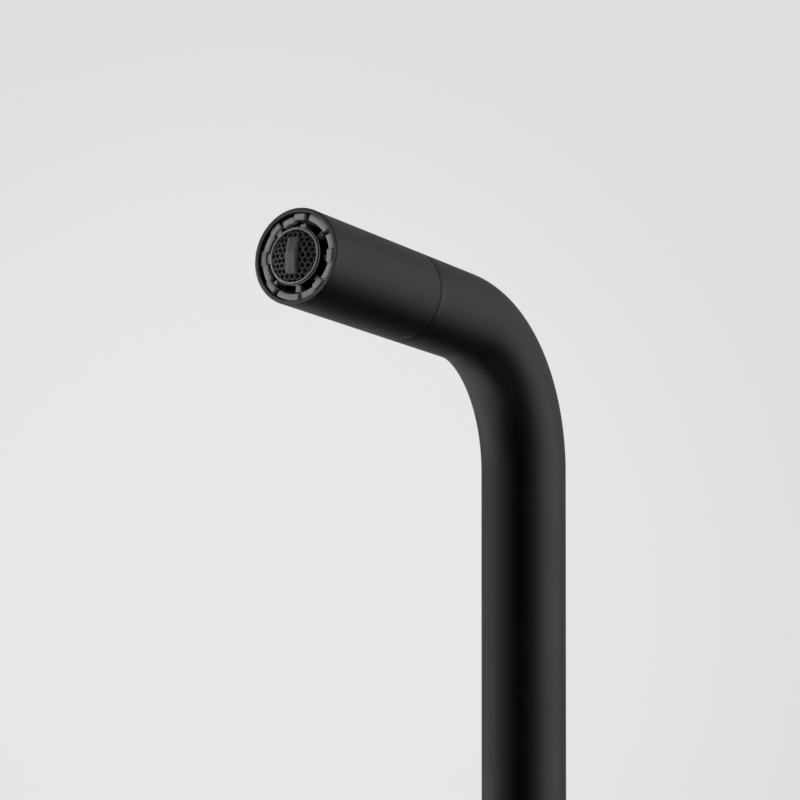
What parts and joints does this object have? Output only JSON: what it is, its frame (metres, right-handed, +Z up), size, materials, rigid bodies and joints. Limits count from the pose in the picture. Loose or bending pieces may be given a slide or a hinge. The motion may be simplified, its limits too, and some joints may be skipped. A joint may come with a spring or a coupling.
{
  "type": "pull down kitchen faucet",
  "caption": "Matte black kitchen mixer of one constant tube: column, bend and short arm with a flush pull-out spray head, side pin lever and honeycomb outlet.",
  "frame": {"origin": "centre of the column in the deck plane, under the base gasket", "axes": "+Z up along the column, -Y along the arm towards the user, +X the handle side"},
  "size_m": [0.094, 0.2325, 0.5551],
  "materials": {
    "black_paint": "matte",
    "rubber": "matte",
    "brass": "machined",
    "steel": "satin",
    "copper": "drawn",
    "ceramic_white": "polished",
    "white_plastic": "matte",
    "black_plastic": "matte",
    "magnet": "plated",
    "braid": "braided",
    "grey_plastic": "satin",
    "cup_plastic": "satin"
  },
  "bodies": {
    "base": {"deck_gasket": "rubber", "base_ring": "black_paint", "lower_body": "black_paint", "shank": "brass", "clamp_gasket": "rubber", "clamp_washer": "steel", "mounting_nut": "brass", "clamp_screws": "steel", "valve_manifold": "brass", "hot_tail": "copper", "cold_tail": "copper", "mixed_tail": "copper", "port_gasket": "rubber", "cartridge_base": "white_plastic", "fixed_disc": "ceramic_white", "cartridge_housing": "white_plastic", "retaining_nut": "brass", "barrel_cap": "black_paint", "swivel_post": "brass", "lower_glide_ring": "black_plastic", "upper_glide_ring": "black_plastic", "swivel_o_rings": "rubber", "slip_washer": "black_plastic", "hose_coupling": "brass"},
    "spout": {"spout_tube": "black_paint", "stop_screw": "steel", "dock_collar": "black_plastic", "dock_magnet": "magnet", "hose_guide": "black_plastic"},
    "hose_end": {"pullout_hose": "braid", "hose_nipple": "steel", "nipple_o_ring": "rubber"},
    "spray_head": {"hose_nut": "brass", "head_neck": "black_plastic", "neck_o_ring": "rubber", "strike_ring": "steel", "head_shell": "black_paint", "neck_nut": "brass", "check_valve_housing": "white_plastic", "check_valve_spring": "steel", "spring_seat": "white_plastic", "filter_screen": "steel", "waterway_o_ring": "rubber", "waterway": "black_plastic", "aerator_ring": "grey_plastic", "aerator_housing": "black_plastic", "aerator_gasket": "rubber"},
    "check_poppet": {"check_valve_poppet": "white_plastic"},
    "aerator_insert": {"aerator_cup": "grey_plastic", "honeycomb": "cup_plastic", "selector_disc": "black_plastic"},
    "temperature_yoke": {"stem_yoke": "white_plastic", "pivot_pin": "steel"},
    "disc_slide": {"moving_disc": "ceramic_white", "disc_carrier": "white_plastic"},
    "handle": {"stem": "steel", "handle_hub": "black_paint", "lever": "black_paint", "hub_screw": "steel"}
  },
  "joints": [
    {"name": "spout_swivel", "type": "hinge", "parent": "base", "child": "spout", "pos_m": [0, 0, 0.108], "axis": [0, 0, 1], "range_deg": [-75, 75]},
    {"name": "pull_out", "type": "slide", "parent": "spout", "child": "hose_end", "axis": [0, -0.9905, 0.1378], "range_m": [0, 0.45], "deforming": ["pullout_hose"]},
    {"name": "head_twist", "type": "hinge", "parent": "hose_end", "child": "spray_head", "pos_m": [0, -0.1151, 0.34452], "axis": [0, -0.9905, 0.1378], "continuous": true},
    {"name": "check_valve", "type": "slide", "parent": "spray_head", "child": "check_poppet", "axis": [0, -0.9905, 0.1378], "range_m": [0, 0.0018], "stiffness_N_per_m": 150, "springref_m": -0.004, "deforming": ["check_valve_spring"]},
    {"name": "aerator_turn", "type": "hinge", "parent": "spray_head", "child": "aerator_insert", "pos_m": [0, -0.19988, 0.35631], "axis": [0, -0.9905, 0.1378], "range_deg": [0, 90]},
    {"name": "handle_temperature", "type": "hinge", "parent": "base", "child": "temperature_yoke", "pos_m": [0.031, 0, 0.054], "axis": [-1, 0, 0], "range_deg": [0, 90]},
    {"name": "handle_flow", "type": "hinge", "parent": "temperature_yoke", "child": "handle", "pos_m": [0.031, 0, 0.054], "axis": [0, 0, 1], "range_deg": [0, 17]},
    {"name": "disc_travel", "type": "slide", "parent": "temperature_yoke", "child": "disc_slide", "axis": [0, -1, 0], "range_m": [0, 0.0023]}
  ],
  "couplings": [
    {"joint": "disc_travel", "follows": "handle_flow", "m_per_rad": 0.0074}
  ]
}
